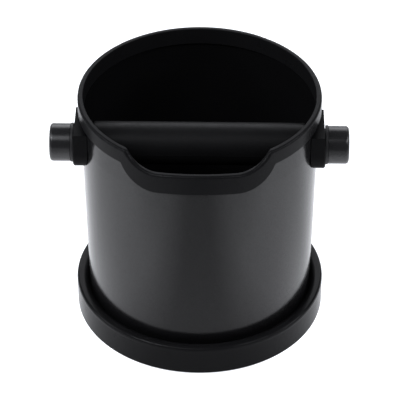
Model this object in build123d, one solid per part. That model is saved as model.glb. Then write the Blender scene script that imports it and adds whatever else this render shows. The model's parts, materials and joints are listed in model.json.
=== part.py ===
from build123d import *
import math
import os

# Round espresso knock box. The frame stands on z = 0 with the bin's axis on Z, the
# dipped front edge facing -Y and the knock bar along X. All lengths are millimetres.

# Overall size
TOTAL_HEIGHT = 158.9
RIM_RADIUS = 75.0
BOOT_RADIUS = 79.2
BOOT_HEIGHT = 20.0
SPAN = 120.0                     # larger than the object, for cutting solids
PAST = 1.0                       # how far a cutting solid runs past what it cuts
TOUCH = 0.01                     # two places nearer than this are the same

# Dip in the front edge, where the portafilter's neck is laid. A lower edge line keeps
# its own width: each millimetre of drop at the sides adds these amounts to its dip.
DIP_DEPTH = 10.5
DIP_CORNER_HALF = 42.3
DIP_FLOOR_HALF = 23.4
DIP_CROWN = 1.6                  # the dip's floor rises a little in the middle
DIP_CORNER_ROUND = 3.0           # at the collar's top
EDGE_CORNER_ROUND = 1.0          # at every lower edge line
DEPTH_PER_DROP = 0.32
CORNER_PER_DROP = 0.38
FLOOR_PER_DROP = 0.10

# Rim collar: a moulded channel of two skirts joined by a web
COLLAR_WEB = 2.2
COLLAR_OUTER_DROP = 9.9
COLLAR_INNER_DROP = 11.0
COLLAR_OUTER_WALL = 1.45
COLLAR_INNER_WALL = 0.95
COLLAR_INNER_RADIUS = 71.5
COLLAR_OUTER_ROUND = 1.6
COLLAR_INNER_ROUND = 0.5

# Bin: a drawn steel cup that narrows towards its floor
SHEET = 0.8
BIN_TOP_RADIUS = 73.4
BIN_FLOOR_RADIUS = 70.65
BIN_FLOOR_Z = 3.2
BIN_STRAIGHT_Z = 134.0           # the wall is straight above this height
BIN_CORNER = 7.0
BIN_EDGE_DROP = 2.4              # bin edge below the collar's top
SLIP_GAP = 0.15                  # gap where one part lifts off another
BOOT_GAP = 0.05

# Pressed ring in the bin's floor, which stiffens it
RING_INNER = 44.0
RING_OUTER = 50.0
RING_RISE = 1.2
RING_SLOPE = 1.08                # width of the sloped flanks

# Knock bar
BAR_Y = -12.0
BAR_Z = 129.4
SLEEVE_RADIUS = 13.4
SLEEVE_HALF = 65.2
SLEEVE_END_ROUND = 1.2
CORE_RADIUS = 8.0
CORE_BORE_RADIUS = 5.5
CORE_HALF = 87.0
PRESS_GAP = 0.02
INSERT_LENGTH = 12.0

# Saddles, which hang in the bin's open slots and carry the bar
SADDLE_OUT = 77.5
SADDLE_HALF = 15.5
SADDLE_CENTRE_Z = 130.7
SADDLE_TOP = 144.9
SADDLE_ROUND = 1.2
SLOPE_START_Z = 131.2            # the outer face leans in above this height
SLOPE_END_OUT = 76.5
SLOT_HALF = 12.1
NECK_HALF = 12.0
BOSS_IN = 66.2
BOSS_RADIUS = 14.0

# Bushes in the saddles
BUSH_RADIUS = 10.0
BUSH_BORE_RADIUS = 8.05
BUSH_FLANGE_RADIUS = 12.1
BUSH_FLANGE = 1.5

# End caps and their screws
CAP_RADIUS = 11.75
CAP_START = 79.1
CAP_END = 92.0
CAP_ROUND = 2.2
CAP_MOUTH_ROUND = 0.3
SCREW_RADIUS = 2.5
SCREW_HEAD_RADIUS = 4.6
SCREW_HEAD_RECESS = 0.8
SCREW_END = 77.0
SCREW_HOLE_RADIUS = 2.75
HEX_RADIUS = 1.73                # 3 mm across flats
HEX_DEPTH = 2.0

# Boot: a rubber cup that grips the bin's foot. Its lip rolls down to the wall.
BOOT_TOP_ROUND = 1.8
BOOT_BOTTOM_ROUND = 1.2
LIP_ROLL = 4.8
GRIP_GROOVES = (24.0, 42.0, 60.0)
GROOVE_WIDTH = 3.0
GROOVE_DEPTH = 1.0


def x_rod(radius, start, end, y=BAR_Y, z=BAR_Z):
    """Solid round bar along X from start to end."""
    return Plane.YZ.offset(start) * Pos(y, z) * extrude(Circle(radius), end - start)


def x_tube(radius, bore, start, end):
    """Tube along the knock bar's axis."""
    return x_rod(radius, start, end) - x_rod(bore, start - PAST, end + PAST)


def z_tube(radius, bore, low, high):
    """Tube on the bin's axis."""
    ring = Circle(radius) - Circle(bore)
    return Pos(0, 0, low) * extrude(ring, high - low)


def under_edge(drop, corner_round=EDGE_CORNER_ROUND):
    """Everything under the edge line that runs `drop` below the collar's top edge.

    From each sharp corner of the dip an arc sweeps down into a slightly crowned floor.
    """
    height = TOTAL_HEIGHT - drop
    floor_z = height - DIP_DEPTH - drop * DEPTH_PER_DROP
    corner = DIP_CORNER_HALF + drop * CORNER_PER_DROP
    floor_half = DIP_FLOOR_HALF + drop * FLOOR_PER_DROP
    crown = ThreePointArc((-floor_half, floor_z), (0, floor_z + DIP_CROWN), (floor_half, floor_z))
    right = TangentArc((floor_half, floor_z), (corner, height), tangent=crown % 1)
    left = mirror(right, about=Plane.YZ)
    closing = Polyline(
        (corner, height), (SPAN, height), (SPAN, -SPAN), (-SPAN, -SPAN), (-SPAN, height), (-corner, height)
    )
    section = make_face([crown, right, left, closing])
    ends = [Vector(side * corner, height) for side in (-1, 1)]
    corners = [v for v in section.vertices() if min((Vector(v) - end).length for end in ends) < TOUCH]
    section = fillet(corners, corner_round)
    front = extrude(Plane.XZ * section, SPAN)
    back = Pos(0, SPAN / 2, (height - SPAN) / 2) * Box(2 * SPAN, SPAN, height + SPAN)
    return front + back


def dipped_ring(radius, bore, edge_solid):
    """Ring that ends at an edge line. It reaches down past the collar's lowest edge."""
    return z_tube(radius, bore, TOTAL_HEIGHT - 3 * DIP_DEPTH, TOTAL_HEIGHT + PAST) & edge_solid


def edge_lies_at(edge, radius):
    """Whether an edge keeps one distance from the bin's axis."""
    points = (edge @ 0, edge @ 0.5)
    return all(abs(math.hypot(point.X, point.Y) - radius) < TOUCH for point in points)


def upper_edges(ring, radius):
    """Edges of a ring's top surface that lie at one radius. The dip's sides slope, so they count as top."""
    steepest = math.cos(math.radians(53))
    top_faces = [face for face in ring.faces() if face.normal_at().Z > steepest]
    edges = [edge for face in top_faces for edge in face.edges()]
    return [edge for edge in edges if edge_lies_at(edge, radius)]


def rim_collar():
    """Moulded channel that sits on the bin's edge, with its dip at the front."""
    channel_out = RIM_RADIUS - COLLAR_OUTER_WALL
    channel_in = COLLAR_INNER_RADIUS + COLLAR_INNER_WALL
    ring = dipped_ring(RIM_RADIUS, COLLAR_INNER_RADIUS, under_edge(0, DIP_CORNER_ROUND))
    ring = fillet(upper_edges(ring, RIM_RADIUS), COLLAR_OUTER_ROUND)
    ring = fillet(upper_edges(ring, COLLAR_INNER_RADIUS), COLLAR_INNER_ROUND)
    ring -= dipped_ring(channel_out, channel_in, under_edge(COLLAR_WEB))
    ring -= dipped_ring(SPAN, channel_out, under_edge(COLLAR_OUTER_DROP))
    return ring - dipped_ring(channel_in, PAST, under_edge(COLLAR_INNER_DROP))


def bin_envelope(inset):
    """Solid cup shape whose surface lies `inset` inside the bin's outer surface."""
    floor_z = BIN_FLOOR_Z + inset
    outline = Polyline(
        (0, floor_z),
        (BIN_FLOOR_RADIUS - inset, floor_z),
        (BIN_TOP_RADIUS - inset, BIN_STRAIGHT_Z),
        (BIN_TOP_RADIUS - inset, TOTAL_HEIGHT + PAST),
        (0, TOTAL_HEIGHT + PAST),
        close=True,
    )
    section = make_face(outline)
    corner = section.vertices().sort_by_distance((BIN_FLOOR_RADIUS - inset, floor_z))[0]
    section = fillet(corner, BIN_CORNER - inset)
    return revolve(Plane.XZ * section, Axis.Z)


def slot_prism(half_width, centre_z, top_z, start, end):
    """U-shaped prism along X, round at the bottom and flat at the top."""
    height = top_z - centre_z
    upright = Pos(BAR_Y, centre_z + height / 2) * Rectangle(2 * half_width, height)
    round_end = Pos(BAR_Y, centre_z) * Circle(half_width)
    upper_half = Pos(BAR_Y, centre_z + half_width) * Rectangle(2 * half_width, 2 * half_width)
    outline = upright + (round_end - upper_half)
    return extrude(Plane.YZ.offset(start) * outline, end - start)


def floor_ring(lift):
    """Shallow ring that is pressed up into the floor."""
    ring = z_tube(RING_OUTER, RING_INNER, BIN_FLOOR_Z - PAST, BIN_FLOOR_Z + lift + RING_RISE)
    upper = ring.edges().filter_by(GeomType.CIRCLE).group_by(Axis.Z)[-1]
    return chamfer(upper, RING_SLOPE)


def bin_shell():
    """Drawn steel cup with its dipped front edge and one open slot each side."""
    cup = bin_envelope(0) - bin_envelope(SHEET)
    cup = (cup + floor_ring(SHEET)) - floor_ring(0)
    cup = cup & under_edge(BIN_EDGE_DROP)
    for side in (-1, 1):
        start, end = sorted((side * BOSS_IN, side * SPAN))
        cup -= slot_prism(SLOT_HALF, BAR_Z, TOTAL_HEIGHT + PAST, start, end)
    return cup


def saddle_slope():
    """Solid that trims a saddle's outer face so that it leans in towards the top."""
    profile = Polyline(
        (SADDLE_OUT, SLOPE_START_Z),
        (SPAN, SLOPE_START_Z),
        (SPAN, SADDLE_TOP),
        (SLOPE_END_OUT, SADDLE_TOP),
        close=True,
    )
    return extrude(Plane.XZ * make_face(profile), SPAN, both=True)


def right_saddle():
    """Block outside the wall, neck in the slot and round boss inside, with a bore for the bush."""
    block = slot_prism(SADDLE_HALF, SADDLE_CENTRE_Z, SADDLE_TOP, BOSS_IN, SADDLE_OUT)
    outer_face = block.faces().sort_by(Axis.X)[-1]
    low_edges = [edge for edge in outer_face.edges() if (edge @ 0.5).Z < SADDLE_CENTRE_Z - PAST]
    block = fillet(low_edges, SADDLE_ROUND) - saddle_slope()
    outside_wall = Pos(0, 0, TOTAL_HEIGHT / 2) * Cylinder(BIN_TOP_RADIUS + SLIP_GAP, TOTAL_HEIGHT)
    neck = slot_prism(NECK_HALF, BAR_Z, SADDLE_TOP, BOSS_IN, SADDLE_OUT) - bin_envelope(SHEET)
    tongue = slot_prism(NECK_HALF, BAR_Z, TOTAL_HEIGHT - COLLAR_WEB - SLIP_GAP, BOSS_IN, SADDLE_OUT)
    tongue &= bin_envelope(0) - bin_envelope(SHEET)
    boss = x_rod(BOSS_RADIUS, BOSS_IN, SADDLE_OUT) & bin_envelope(SHEET + SLIP_GAP)
    boss += x_rod(NECK_HALF, BOSS_IN, SADDLE_OUT) & bin_envelope(SHEET - SLIP_GAP)
    saddle = (block - outside_wall) + (neck & outside_wall) + tongue + boss
    return saddle - x_rod(BUSH_RADIUS + PRESS_GAP, BOSS_IN - PAST, SADDLE_OUT + PAST)


def right_bush():
    """Plain bush whose thin flange keeps the end cap off the saddle."""
    barrel = x_tube(BUSH_RADIUS, BUSH_BORE_RADIUS, BOSS_IN, SADDLE_OUT)
    flange = x_tube(BUSH_FLANGE_RADIUS, BUSH_BORE_RADIUS, SADDLE_OUT, SADDLE_OUT + BUSH_FLANGE)
    return barrel + flange


def bar_core():
    """Steel tube that takes the blows."""
    return x_tube(CORE_RADIUS, CORE_BORE_RADIUS, -CORE_HALF, CORE_HALF)


def bar_sleeve():
    """Thick rubber sleeve between the bosses."""
    sleeve = x_tube(SLEEVE_RADIUS, CORE_RADIUS + PRESS_GAP, -SLEEVE_HALF, SLEEVE_HALF)
    rims = sleeve.edges().filter_by(GeomType.CIRCLE).group_by(lambda rim: rim.radius)[-1]
    return fillet(rims, SLEEVE_END_ROUND)


def right_insert():
    """Threaded plug pressed into the end of the tube."""
    start = CORE_HALF - INSERT_LENGTH
    return x_tube(CORE_BORE_RADIUS - PRESS_GAP, SCREW_RADIUS, start, CORE_HALF)


def countersink(bottom_radius, top_radius, start, end):
    """Cone along the bar's axis, wider outwards."""
    cone = Cone(bottom_radius, top_radius, end - start)
    return Plane.YZ.offset((start + end) / 2) * Pos(BAR_Y, BAR_Z) * cone


def right_cap():
    """Round end cap with a countersunk hole for its screw."""
    cap = x_rod(CAP_RADIUS, CAP_START, CAP_END)
    rims = cap.edges().filter_by(GeomType.CIRCLE).sort_by(Axis.X)
    cap = fillet(rims[-1], CAP_ROUND)
    mouth = cap.edges().filter_by(GeomType.CIRCLE).sort_by(Axis.X)[0]
    cap = fillet(mouth, CAP_MOUTH_ROUND)
    cap -= x_rod(CORE_RADIUS + PRESS_GAP, CAP_START - PAST, CORE_HALF + PRESS_GAP)
    cap -= x_rod(SCREW_HOLE_RADIUS, CAP_START, CAP_END + PAST)
    head_top = CAP_END - SCREW_HEAD_RECESS
    head_height = SCREW_HEAD_RADIUS - SCREW_RADIUS
    cap -= countersink(SCREW_RADIUS, SCREW_HEAD_RADIUS, head_top - head_height, head_top)
    cap -= x_rod(SCREW_HEAD_RADIUS, head_top, CAP_END + PAST)
    return cap


def right_screw():
    """Countersunk socket screw."""
    head_top = CAP_END - SCREW_HEAD_RECESS
    head_height = SCREW_HEAD_RADIUS - SCREW_RADIUS
    screw = x_rod(SCREW_RADIUS - PRESS_GAP, SCREW_END, head_top - head_height)
    screw += countersink(
        SCREW_RADIUS - PRESS_GAP, SCREW_HEAD_RADIUS - PRESS_GAP, head_top - head_height, head_top
    )
    socket = extrude(RegularPolygon(HEX_RADIUS, 6), HEX_DEPTH + PAST)
    return screw - Plane.YZ.offset(head_top - HEX_DEPTH) * Pos(BAR_Y, BAR_Z) * socket


def level_rims(solid, level):
    """Round edges at one level of a solid, narrowest first. Level 0 is the lowest and -1 the highest."""
    return solid.edges().filter_by(GeomType.CIRCLE).group_by(Axis.Z)[level].sort_by(lambda rim: rim.radius)


def base_boot():
    """Rubber cup under the bin, with a lip that rolls down to the wall and grip grooves below."""
    boot = Pos(0, 0, BOOT_HEIGHT / 2) * Cylinder(BOOT_RADIUS, BOOT_HEIGHT)
    boot -= bin_envelope(-BOOT_GAP)
    boot = fillet(level_rims(boot, -1)[0], LIP_ROLL)
    boot = fillet(level_rims(boot, -1)[-1], BOOT_TOP_ROUND)
    boot = fillet(level_rims(boot, 0)[-1], BOOT_BOTTOM_ROUND)
    for groove in GRIP_GROOVES:
        boot -= z_tube(groove + GROOVE_WIDTH, groove, -PAST, GROOVE_DEPTH)
    return boot


def mirrored(part):
    """The same part on the other side."""
    return mirror(part, about=Plane.YZ)


def save(name, *solids):
    """Write one node, which may be a group of identical separate solids."""
    shape = solids[0] if len(solids) == 1 else Compound(children=list(solids))
    export_step(shape, os.path.join("parts", name + ".step"))


os.makedirs("parts", exist_ok=True)

save("base_boot", base_boot())
save("bin_shell", bin_shell())
save("rim_collar", rim_collar())
save("saddle_right", right_saddle())
save("saddle_left", mirrored(right_saddle()))
save("bar_bush_right", right_bush())
save("bar_bush_left", mirrored(right_bush()))
save("bar_core", bar_core())
save("bar_sleeve", bar_sleeve())
save("core_inserts", right_insert(), mirrored(right_insert()))
save("end_cap_right", right_cap())
save("end_cap_left", mirrored(right_cap()))
save("cap_screws", right_screw(), mirrored(right_screw()))
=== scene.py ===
import json
import math

import bpy
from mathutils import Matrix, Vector


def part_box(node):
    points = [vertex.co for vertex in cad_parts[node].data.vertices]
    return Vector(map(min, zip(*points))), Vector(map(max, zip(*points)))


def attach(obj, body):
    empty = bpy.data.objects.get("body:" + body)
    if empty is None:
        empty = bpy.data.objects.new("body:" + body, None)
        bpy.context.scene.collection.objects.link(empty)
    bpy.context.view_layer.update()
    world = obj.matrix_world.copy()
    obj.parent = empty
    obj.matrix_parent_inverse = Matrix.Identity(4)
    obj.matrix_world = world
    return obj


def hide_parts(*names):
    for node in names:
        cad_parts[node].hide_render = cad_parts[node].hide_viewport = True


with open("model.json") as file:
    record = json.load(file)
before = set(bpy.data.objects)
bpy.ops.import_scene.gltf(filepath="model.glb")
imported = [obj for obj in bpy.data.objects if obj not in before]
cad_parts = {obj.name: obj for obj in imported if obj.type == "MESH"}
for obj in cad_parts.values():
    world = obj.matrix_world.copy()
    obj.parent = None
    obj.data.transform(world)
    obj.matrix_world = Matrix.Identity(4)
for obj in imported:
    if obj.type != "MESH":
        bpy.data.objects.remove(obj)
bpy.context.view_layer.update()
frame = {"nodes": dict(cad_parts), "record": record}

# An espresso knock box on a light table. Lengths are in metres, and MM turns millimetres into them.
MM = 0.001

# The frame's own measures
BIN_LOW, BIN_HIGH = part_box("bin_shell")
SLEEVE_LOW, SLEEVE_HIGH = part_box("bar_sleeve")
BOOT_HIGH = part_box("base_boot")[1]

# The boot, the sleeve and the bin's foot, as the CAD model has them
BIN_FOOT_RADIUS = 70.65 * MM
BIN_STRAIGHT_Z = 134.0 * MM      # the bin is widest from here up
BIN_CORNER = 7.0 * MM
BOOT_GAP = 0.05 * MM
BOOT_HEEL = 1.2 * MM
BOOT_SHOULDER = 1.8 * MM
LIP_ROLL = 4.8 * MM
GRIP_GROOVES = (24.0 * MM, 42.0 * MM, 60.0 * MM)     # inner radii
GROOVE_WIDTH = 3.0 * MM
GROOVE_DEPTH = 1.0 * MM
GROOVE_FLATNESS = 4              # 2 would make a round groove, and more makes a flatter one
SLEEVE_ROUND = 1.2 * MM
SLEEVE_BORE = 8.02 * MM
MOULD_LINE = 0.10 * MM           # how far a moulding line stands out
MOULD_LINE_HALF = 0.30 * MM

# How finely the mouldings are divided
BOOT_TURNS = 288
WALL_RINGS = 60
GROOVE_STEPS = 8
HEEL_STEPS = 8
SHOULDER_STEPS = 10
LIP_STEPS = 18
POCKET_STEPS = 12
SLEEVE_TURNS = 120
SLEEVE_RINGS = 40
SLEEVE_END_STEPS = 8
LINE_TURN = 0.008                # radians between points near a moulding line
LINE_STEPS = 5                   # such points on each side of it
TURN_DIGITS = 5                  # turns that are the same to this many digits count once

# Camera: from the front and well above
CAMERA_DISTANCE = 1.5
CAMERA_ELEVATION = 37.2
CAMERA_AZIMUTH = 1.0
CAMERA_LENS = 213.1
CAMERA_AIM_Z = 76.5 * MM
CAMERA_SHIFT = 0.00075
CAMERA_REACH = 20

# Floor: a light table whose glow is painted light, stronger beside the object so that the object's sides
# reflect brighter than its front. Each span is in metres from the bin's axis.
FLOOR_HALF = 4.0
FLOOR_Z = -0.3 * MM
FLOOR_GREYS = (0.42, 0.45)
FLOOR_ROUGHNESS = 0.85
FLOOR_HAZE = (40, 4)             # noise between the two greys, as in the finishes
TABLE_GLOW = 0.83
TABLE_SIDE_GLOW = 1.60           # added beside the object, as painted light that brightens the object's reflected sides
SIDE_SPAN = (0.035, 0.10)        # sideways, where that sets in
TABLE_REAR_SHARE = 0.1           # how much of it is left behind the object
REAR_SPAN = (-0.13, 0.02)        # along Y, where it fades
TABLE_FRONT_SHARE = 0.35         # how much of the whole glow is left further in front
FRONT_SPAN = (-0.30, -0.11)      # along Y, where that comes up to full

# Lights, all slightly cool. Each softbox has a name, a place, its two sides and its power. The
# small key lights, stronger from the left, draw the thin bright lines on rounded edges.
LIGHT_COLOUR = (0.94, 0.955, 1.0)
LIGHT_AIM = (0, 0, 80 * MM)
SOFTBOXES = (
    ("side_softbox", (-0.90, 0.0, 0.60), (0.35, 0.35), 4.5),
    ("side_softbox", (0.90, 0.0, 0.60), (0.35, 0.35), 4.5),
    ("back_softbox", (0, 1.3, 0.9), (1.8, 0.9), 18.0),
    ("key_softbox", (-0.75, -0.55, 1.05), (0.5, 0.3), 10.0),
    ("key_softbox", (0.75, -0.55, 1.05), (0.5, 0.3), 6.0),
    ("front_softbox", (-0.40, -0.55, 1.30), (0.9, 0.5), 7.0),
)

# The room round them, by a direction's Z, which points up, and its Y, which points to the back
ROOM_LIGHT = (0.5, 0.22)         # low down, and overhead
ROOM_RISE = (0.35, 0.85)         # the Z between the two
ROOM_SHARE = (0.5, 1.0)          # how much of that is left in front, and behind
ROOM_DEPTH = (-0.8, 0.1)         # the Y between the two

# Finishes. Each noise has its features per metre and its levels of detail.
CLOUDS = (32, 5)
SPECKS = (1400, 2)
PATCHES = (220, 4)
SMUDGES = (70, 4)
GRAIN_DETAIL = 2
WAVE_SHARE = 1 / 6               # features of the coarse grain for each one of the fine grain
SPECK_SHARE = 0.35               # of the mottled colour
CLOUD_SHARE = 0.65
NOISE_SPAN = (0.3, 0.7)          # where most of a noise's values lie
SHINE_SPREAD = 0.22              # how much a finish's shine varies from speck to speck
EDGE_SAMPLES = 6
EDGE_SPAN = (0.99, 0.86)         # cosine of a normal's turn: on an open face, and on an edge
PATCH_SPAN = (0.42, 0.62)
PATCH_SCUFF_AND_HIGHLIGHT = (0.15, 1.0)         # how far an edge is lightened between patches, and in them: partly scuffing, partly painted highlight
SCUFF_AND_HIGHLIGHT_GAIN = 2.2                # a lightened edge's colour: partly scuffing, partly painted highlight
SCUFF_AND_HIGHLIGHT_LIFT = 0.004
RUBBED_POLISH = -0.08            # what rubbing does to the roughness
BRUSHED = (60, 1, 1)             # stretch that turns noise into fine lines round the bar's axis


# ---------------------------------------------------------------- material helpers

def new_material(name):
    """A node material, its tree and its main shader."""
    material = bpy.data.materials.new(name)
    material.use_nodes = True
    return material, material.node_tree, material.node_tree.nodes["Principled BSDF"]


def math_node(tree, operation, *values):
    """One sum of a material. Each value is a number or a node's output."""
    node = tree.nodes.new("ShaderNodeMath")
    node.operation = operation
    for socket, value in zip(node.inputs, values):
        if isinstance(value, (int, float)):
            socket.default_value = value
        else:
            tree.links.new(value, socket)
    return node.outputs[0]


def map_range(tree, value, span, result):
    """Rescales a value from its span to the result's two ends, and holds it between them."""
    node = tree.nodes.new("ShaderNodeMapRange")
    tree.links.new(value, node.inputs["Value"])
    for key, number in zip(("From Min", "From Max", "To Min", "To Max"), (*span, *result)):
        node.inputs[key].default_value = number
    return node.outputs["Result"]


def split_place(tree, kind):
    """The X, Y and Z of a place on the object, or of a direction in the room."""
    place = tree.nodes.new("ShaderNodeTexCoord")
    split = tree.nodes.new("ShaderNodeSeparateXYZ")
    tree.links.new(place.outputs[kind], split.inputs[0])
    return split.outputs


def noise(tree, scale, detail, stretch=(1, 1, 1)):
    """Noise fixed to the object. The scale counts features per metre."""
    place = tree.nodes.new("ShaderNodeTexCoord")
    mapping = tree.nodes.new("ShaderNodeMapping")
    mapping.inputs["Scale"].default_value = stretch
    tree.links.new(place.outputs["Object"], mapping.inputs["Vector"])
    node = tree.nodes.new("ShaderNodeTexNoise")
    node.inputs["Scale"].default_value = scale
    node.inputs["Detail"].default_value = detail
    tree.links.new(mapping.outputs[0], node.inputs["Vector"])
    return node.outputs["Fac"]


def mix_colours(tree, factor, first, second):
    """Blends two colours by a factor. A colour is three numbers or a node's output."""
    mix = tree.nodes.new("ShaderNodeMix")
    mix.data_type = "RGBA"
    tree.links.new(factor, mix.inputs[0])
    sockets = [socket for socket in mix.inputs if socket.type == "RGBA"]
    for socket, colour in zip(sockets, (first, second)):
        if isinstance(colour, (list, tuple)):
            socket.default_value = (*colour, 1)
        else:
            tree.links.new(colour, socket)
    return [socket for socket in mix.outputs if socket.type == "RGBA"][0]


def rounded_edges(tree, radius):
    """A normal that rounds sharp edges, and a mask that is 1 on them and 0 on open faces."""
    bevel = tree.nodes.new("ShaderNodeBevel")
    bevel.samples = EDGE_SAMPLES
    bevel.inputs["Radius"].default_value = radius
    geometry = tree.nodes.new("ShaderNodeNewGeometry")
    turn = tree.nodes.new("ShaderNodeVectorMath")
    turn.operation = "DOT_PRODUCT"
    tree.links.new(bevel.outputs[0], turn.inputs[0])
    tree.links.new(geometry.outputs["Normal"], turn.inputs[1])
    return bevel.outputs[0], map_range(tree, turn.outputs["Value"], EDGE_SPAN, (0.0, 1.0))


def add_bump(tree, shader, normal, layers):
    """Stacks bumps on a normal. Each layer is a height and its depth in metres."""
    for height, depth in layers:
        bump = tree.nodes.new("ShaderNodeBump")
        bump.inputs["Distance"].default_value = depth
        tree.links.new(height, bump.inputs["Height"])
        tree.links.new(normal, bump.inputs["Normal"])
        normal = bump.outputs[0]
    tree.links.new(normal, shader.inputs["Normal"])


# ---------------------------------------------------------------- camera, floor, light

def make_camera():
    """The camera looks at the bin's middle from the front."""
    data = bpy.data.cameras.new("camera")
    data.lens = CAMERA_LENS
    data.shift_x = CAMERA_SHIFT
    data.clip_end = CAMERA_REACH
    camera = bpy.data.objects.new("camera", data)
    bpy.context.scene.collection.objects.link(camera)
    turn = math.radians(CAMERA_AZIMUTH)
    lift = math.radians(CAMERA_ELEVATION)
    back = Vector((math.sin(turn) * math.cos(lift), -math.cos(turn) * math.cos(lift), math.sin(lift)))
    camera.location = Vector((0, 0, CAMERA_AIM_Z)) + back * CAMERA_DISTANCE
    camera.rotation_mode = "QUATERNION"
    camera.rotation_quaternion = (-back).to_track_quat("-Z", "Y")
    bpy.context.scene.camera = camera


def make_floor():
    """A white light table whose glow is painted light. Its own glow keeps it white right up to the
    object, and is stronger beside it so that the object's sides reflect brighter.
    """
    mesh = bpy.data.meshes.new("floor")
    corners = [(x * FLOOR_HALF, y * FLOOR_HALF, FLOOR_Z) for x, y in ((-1, -1), (1, -1), (1, 1), (-1, 1))]
    mesh.from_pydata(corners, [], [(0, 1, 2, 3)])
    floor = bpy.data.objects.new("floor", mesh)
    bpy.context.scene.collection.objects.link(floor)
    material, tree, shader = new_material("floor_acrylic")
    greys = [(grey, grey, grey) for grey in FLOOR_GREYS]
    tree.links.new(mix_colours(tree, noise(tree, *FLOOR_HAZE), *greys), shader.inputs["Base Color"])
    shader.inputs["Roughness"].default_value = FLOOR_ROUGHNESS
    shader.inputs["Specular IOR Level"].default_value = 0.0
    shader.inputs["Emission Color"].default_value = (*LIGHT_COLOUR, 1)
    place = split_place(tree, "Object")
    to_side = map_range(tree, math_node(tree, "ABSOLUTE", place["X"]), SIDE_SPAN, (0.0, 1.0))
    to_front = map_range(tree, place["Y"], REAR_SPAN, (1.0, TABLE_REAR_SHARE))
    extra = math_node(tree, "MULTIPLY", to_side, to_front)
    near_front = map_range(tree, place["Y"], FRONT_SPAN, (TABLE_FRONT_SHARE, 1.0))
    # Painted light: the glow is stronger beside the object and weaker far in front, for brighter
    # reflections on the object's sides.
    glow = math_node(tree, "MULTIPLY_ADD", extra, TABLE_SIDE_GLOW, TABLE_GLOW)
    tree.links.new(math_node(tree, "MULTIPLY", glow, near_front), shader.inputs["Emission Strength"])
    mesh.materials.append(material)


def area_light(name, place, size, power):
    """A rectangular softbox that faces the bin's middle."""
    data = bpy.data.lights.new(name, "AREA")
    data.shape = "RECTANGLE"
    data.size, data.size_y = size
    data.energy = power
    data.color = LIGHT_COLOUR
    light = bpy.data.objects.new(name, data)
    bpy.context.scene.collection.objects.link(light)
    light.location = place
    light.rotation_mode = "QUATERNION"
    light.rotation_quaternion = (Vector(LIGHT_AIM) - Vector(place)).to_track_quat("-Z", "Y")


def make_room():
    """A dim room that is darker overhead and in front."""
    world = bpy.data.worlds.new("studio")
    bpy.context.scene.world = world
    world.use_nodes = True
    tree = world.node_tree
    background = tree.nodes["Background"]
    direction = split_place(tree, "Generated")
    height = map_range(tree, direction["Z"], ROOM_RISE, ROOM_LIGHT)
    depth = map_range(tree, direction["Y"], ROOM_DEPTH, ROOM_SHARE)
    background.inputs["Color"].default_value = (*LIGHT_COLOUR, 1)
    tree.links.new(math_node(tree, "MULTIPLY", height, depth), background.inputs["Strength"])


# ---------------------------------------------------------------- finishes

def finish(name, colour, rough, level, grain, edge, edge_scuff_and_highlight=0.6, metallic=0.0, stretch=(1, 1, 1)):
    """A finish with mottled colour, uneven sheen, a fine grain and lighter edges, partly scuffing and
    partly a painted highlight.

    colour: base colour and how much it varies. rough: roughness and how much it varies.
    level: how strongly it shines. grain: features per metre and depth in metres.
    edge: radius of the lightened edges in metres. The next argument: how far they are lightened, partly
    as scuffing and partly as a painted highlight.
    stretch: how many times finer the patterns are along X, Y and Z, apart from the patches of lightened
    edges.
    """
    material, tree, shader = new_material(name)
    (base, spread), (roughness, unevenness), (grain_scale, grain_depth) = colour, rough, grain
    clouds = noise(tree, *CLOUDS, stretch)
    specks = noise(tree, *SPECKS, stretch)
    share = math_node(tree, "MULTIPLY", clouds, CLOUD_SHARE)
    mottle = math_node(tree, "MULTIPLY_ADD", specks, SPECK_SHARE, share)
    dark = [c * (1 - spread) for c in base]
    light = [c * (1 + spread) for c in base]
    shades = mix_colours(tree, mottle, dark, light)

    # Lighter, polished colour on every convex edge: partly scuffing, partly a painted highlight.
    normal, on_edge = rounded_edges(tree, edge)
    patches = map_range(tree, noise(tree, *PATCHES), PATCH_SPAN, PATCH_SCUFF_AND_HIGHLIGHT)
    scuff_and_highlight_mask = math_node(tree, "MULTIPLY", math_node(tree, "MULTIPLY", on_edge, patches), edge_scuff_and_highlight)
    scuffed_and_highlit_colour = mix_colours(tree, scuff_and_highlight_mask, shades, [c * SCUFF_AND_HIGHLIGHT_GAIN + SCUFF_AND_HIGHLIGHT_LIFT for c in base])
    tree.links.new(scuffed_and_highlit_colour, shader.inputs["Base Color"])

    sheen = (roughness - unevenness, roughness + unevenness)
    smudges = map_range(tree, noise(tree, *SMUDGES, stretch), NOISE_SPAN, sheen)
    polish = math_node(tree, "MULTIPLY_ADD", scuff_and_highlight_mask, RUBBED_POLISH, smudges)
    tree.links.new(polish, shader.inputs["Roughness"])
    levels = (level * (1 - SHINE_SPREAD), level * (1 + SHINE_SPREAD))
    tree.links.new(map_range(tree, specks, NOISE_SPAN, levels), shader.inputs["Specular IOR Level"])
    shader.inputs["Metallic"].default_value = metallic

    fine = noise(tree, grain_scale, GRAIN_DETAIL, stretch)
    waves = noise(tree, grain_scale * WAVE_SHARE, GRAIN_DETAIL, stretch)
    add_bump(tree, shader, normal, [(waves, grain_depth), (fine, grain_depth)])
    return material


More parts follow.
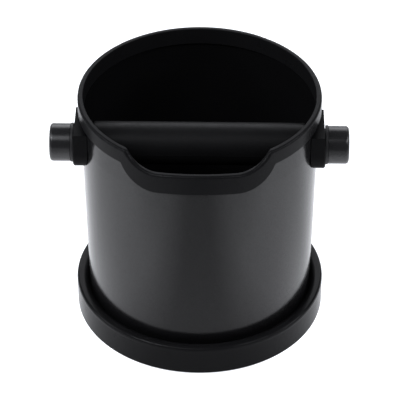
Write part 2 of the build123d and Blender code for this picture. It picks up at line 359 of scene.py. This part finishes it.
def make_finishes():
    """Every finish, by the name of the record's material slot."""
    return {
        "graphite_steel": finish(
            "graphite_coat",
            colour=((0.0028, 0.0028, 0.0030), 0.25),
            rough=(0.17, 0.015),
            level=0.168,
            grain=(1500, 0.016 * MM),
            edge=0.25 * MM,
        ),
        "collar_plastic": finish(
            "collar_moulding",
            colour=((0.0046, 0.0046, 0.0049), 0.2),
            rough=(0.29, 0.03),
            level=0.027,
            grain=(1900, 0.03 * MM),
            edge=0.25 * MM,
        ),
        "saddle_plastic": finish(
            "saddle_moulding",
            colour=((0.0022, 0.0022, 0.0024), 0.2),
            rough=(0.46, 0.05),
            level=0.025,
            grain=(1900, 0.03 * MM),
            edge=0.3 * MM,
        ),
        "bush_nylon": finish(
            "bush_nylon",
            colour=((0.0150, 0.0150, 0.0155), 0.15),
            rough=(0.42, 0.04),
            level=0.12,
            grain=(1500, 0.01 * MM),
            edge=0.15 * MM,
        ),
        "core_steel": finish(
            "core_steel",
            colour=((0.50, 0.50, 0.51), 0.10),
            rough=(0.28, 0.05),
            level=0.5,
            grain=(1200, 0.01 * MM),
            edge=0.2 * MM,
            edge_scuff_and_highlight=0.1,
            metallic=1.0,
            stretch=BRUSHED,
        ),
        "sleeve_rubber": finish(
            "sleeve_rubber",
            colour=((0.0036, 0.0036, 0.0038), 0.3),
            rough=(0.44, 0.06),
            level=0.054,
            grain=(1300, 0.04 * MM),
            edge=0.2 * MM,
        ),
        "insert_steel": finish(
            "insert_steel",
            colour=((0.45, 0.45, 0.45), 0.10),
            rough=(0.25, 0.04),
            level=0.5,
            grain=(1500, 0.01 * MM),
            edge=0.15 * MM,
            edge_scuff_and_highlight=0.1,
            metallic=1.0,
        ),
        "cap_plastic": finish(
            "cap_moulding",
            colour=((0.0070, 0.0070, 0.0075), 0.15),
            rough=(0.25, 0.03),
            level=0.23,
            grain=(1600, 0.006 * MM),
            edge=0.2 * MM,
            edge_scuff_and_highlight=0.4,
        ),
        "screw_steel": finish(
            "screw_black_oxide",
            colour=((0.02, 0.02, 0.022), 0.2),
            rough=(0.32, 0.05),
            level=0.5,
            grain=(1500, 0.01 * MM),
            edge=0.12 * MM,
            edge_scuff_and_highlight=0.8,
        ),
        "boot_rubber": finish(
            "boot_rubber",
            colour=((0.0042, 0.0042, 0.0045), 0.25),
            rough=(0.23, 0.02),
            level=0.041,
            grain=(1500, 0.03 * MM),
            edge=0.2 * MM,
            edge_scuff_and_highlight=0.3,
        ),
    }


def finish_nodes(finishes):
    """Gives every carried-over CAD node the finish of its slot."""
    for part in frame["record"]["subparts"]:
        for slot in frame["nodes"][part["node"]].material_slots:
            slot.material = finishes[part["material_slot"]]


# ---------------------------------------------------------------- moulded rubber

def add_piece(name, points, faces, finishes, body, node, slot):
    """A mesh piece that rides on a body and stands for a CAD node, with the finish of its slot."""
    mesh = bpy.data.meshes.new(name)
    mesh.from_pydata(points, [], faces)
    mesh.materials.append(finishes[slot])
    mesh.shade_smooth()
    piece = bpy.data.objects.new(name, mesh)
    bpy.context.scene.collection.objects.link(piece)
    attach(piece, body)
    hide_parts(node)


def arc(centre, radius, start, end, steps):
    """Points of an arc, with angles in degrees."""
    angles = [math.radians(start + (end - start) * step / steps) for step in range(steps + 1)]
    return [(centre[0] + radius * math.cos(a), centre[1] + radius * math.sin(a)) for a in angles]


def bead(place, centre, half_width):
    """How far a rounded moulding line stands out at a place across it."""
    offset = (place - centre) / half_width
    return MOULD_LINE * math.exp(-offset * offset)


def grip_groove(inner):
    """Profile of one rounded groove in the boot's underside, from its inner edge outwards."""
    points = []
    for step in range(GROOVE_STEPS + 1):
        place = step / GROOVE_STEPS
        height = GROOVE_DEPTH * (1 - abs(2 * place - 1) ** GROOVE_FLATNESS)
        points.append((inner + GROOVE_WIDTH * place, height))
    return points


def boot_profile():
    """The boot's section, from the middle of its underside round to the middle of its inside."""
    outer = BOOT_HIGH[0]
    top = BOOT_HIGH[2]
    skin = outer - MOULD_LINE
    underside = [(0, 0)]
    for groove in GRIP_GROOVES:
        underside += grip_groove(groove)
    heel = arc((skin - BOOT_HEEL, BOOT_HEEL), BOOT_HEEL, -90, 0, HEEL_STEPS)
    line_z = top - BOOT_SHOULDER - 2 * MOULD_LINE_HALF
    tall = top - BOOT_SHOULDER - BOOT_HEEL
    heights = [BOOT_HEEL + tall * step / WALL_RINGS for step in range(1, WALL_RINGS)]
    wall = [(skin + bead(z, line_z, MOULD_LINE_HALF), z) for z in heights]
    shoulder_centre = (skin - BOOT_SHOULDER, top - BOOT_SHOULDER)
    shoulder = arc(shoulder_centre, BOOT_SHOULDER, 0, 90, SHOULDER_STEPS)
    foot_z = BIN_LOW[2] - BOOT_GAP
    lean = (BIN_HIGH[0] - BIN_FOOT_RADIUS) / (BIN_STRAIGHT_Z - BIN_LOW[2])

    def inside(z):
        return BIN_FOOT_RADIUS + BOOT_GAP + lean * (z - foot_z)

    roll_z = top - LIP_ROLL
    lip = arc((inside(roll_z) + LIP_ROLL, roll_z), LIP_ROLL, 90, 180, LIP_STEPS)
    corner = BIN_CORNER + BOOT_GAP
    corner_z = foot_z + corner
    pocket = arc((inside(corner_z) - corner, corner_z), corner, 0, -90, POCKET_STEPS)
    return underside + heel + wall + shoulder + lip + pocket + [(0, foot_z)]


def make_boot(finishes):
    """The rubber boot, turned about the bin's axis, with its moulding line under the lip."""
    profile = boot_profile()
    points = [(0, 0, profile[0][1]), (0, 0, profile[-1][1])]
    rings = profile[1:-1]
    for step in range(BOOT_TURNS):
        turn = 2 * math.pi * step / BOOT_TURNS
        points += [(r * math.cos(turn), r * math.sin(turn), z) for r, z in rings]
    faces = []
    count = len(rings)
    for step in range(BOOT_TURNS):
        here = 2 + step * count
        there = 2 + (step + 1) % BOOT_TURNS * count
        faces.append((0, there, here))
        faces += [(here + k, there + k, there + k + 1, here + k + 1) for k in range(count - 1)]
        faces.append((1, here + count - 1, there + count - 1))
    add_piece("boot_moulding", points, faces, finishes, "boot", "base_boot", "boot_rubber")


def sleeve_turns():
    """Places round the sleeve, even all round and closer together near its two moulding lines."""
    even = [2 * math.pi * step / SLEEVE_TURNS for step in range(SLEEVE_TURNS)]
    steps = range(-LINE_STEPS, LINE_STEPS + 1)
    near_lines = [line + step * LINE_TURN for line in (0, math.pi) for step in steps]
    return sorted({round(turn % (2 * math.pi), TURN_DIGITS) for turn in even + near_lines})


def make_sleeve(finishes):
    """The bar's rubber sleeve, with the two moulding lines along it and rounded ends."""
    low, high = SLEEVE_LOW, SLEEVE_HIGH
    middle_y, middle_z = (low[1] + high[1]) / 2, (low[2] + high[2]) / 2
    outer = (high[2] - low[2]) / 2
    skin = outer - MOULD_LINE
    half = high[0]
    turns = sleeve_turns()
    end_centre = (half - SLEEVE_ROUND, outer - SLEEVE_ROUND)
    right_end = arc(end_centre, SLEEVE_ROUND, 90, 0, SLEEVE_END_STEPS)
    left_end = [(-x, r) for x, r in reversed(right_end)]
    along = [half * (2 * step / SLEEVE_RINGS - 1) for step in range(2, SLEEVE_RINGS - 1)]
    lengthwise = [(x, outer) for x in along]
    section = [(half, SLEEVE_BORE), (-half, SLEEVE_BORE)] + left_end + lengthwise + right_end
    points = []
    for turn in turns:
        from_line = min(turn % math.pi, math.pi - turn % math.pi)
        stand = bead(from_line, 0, MOULD_LINE_HALF / outer)
        for x, r in section:
            reach = r if r == SLEEVE_BORE else r - outer + skin + stand
            points.append((x, middle_y + reach * math.cos(turn), middle_z + reach * math.sin(turn)))
    faces = []
    count = len(section)
    for index in range(len(turns)):
        here = index * count
        there = (index + 1) % len(turns) * count
        for k in range(count):
            after = (k + 1) % count
            faces.append((here + k, here + after, there + after, there + k))
    add_piece("sleeve_moulding", points, faces, finishes, "bar", "bar_sleeve", "sleeve_rubber")


make_camera()
make_floor()
for softbox in SOFTBOXES:
    area_light(*softbox)
make_room()
FINISHES = make_finishes()
finish_nodes(FINISHES)
make_boot(FINISHES)
make_sleeve(FINISHES)
bpy.context.scene.view_settings.view_transform = "Standard"
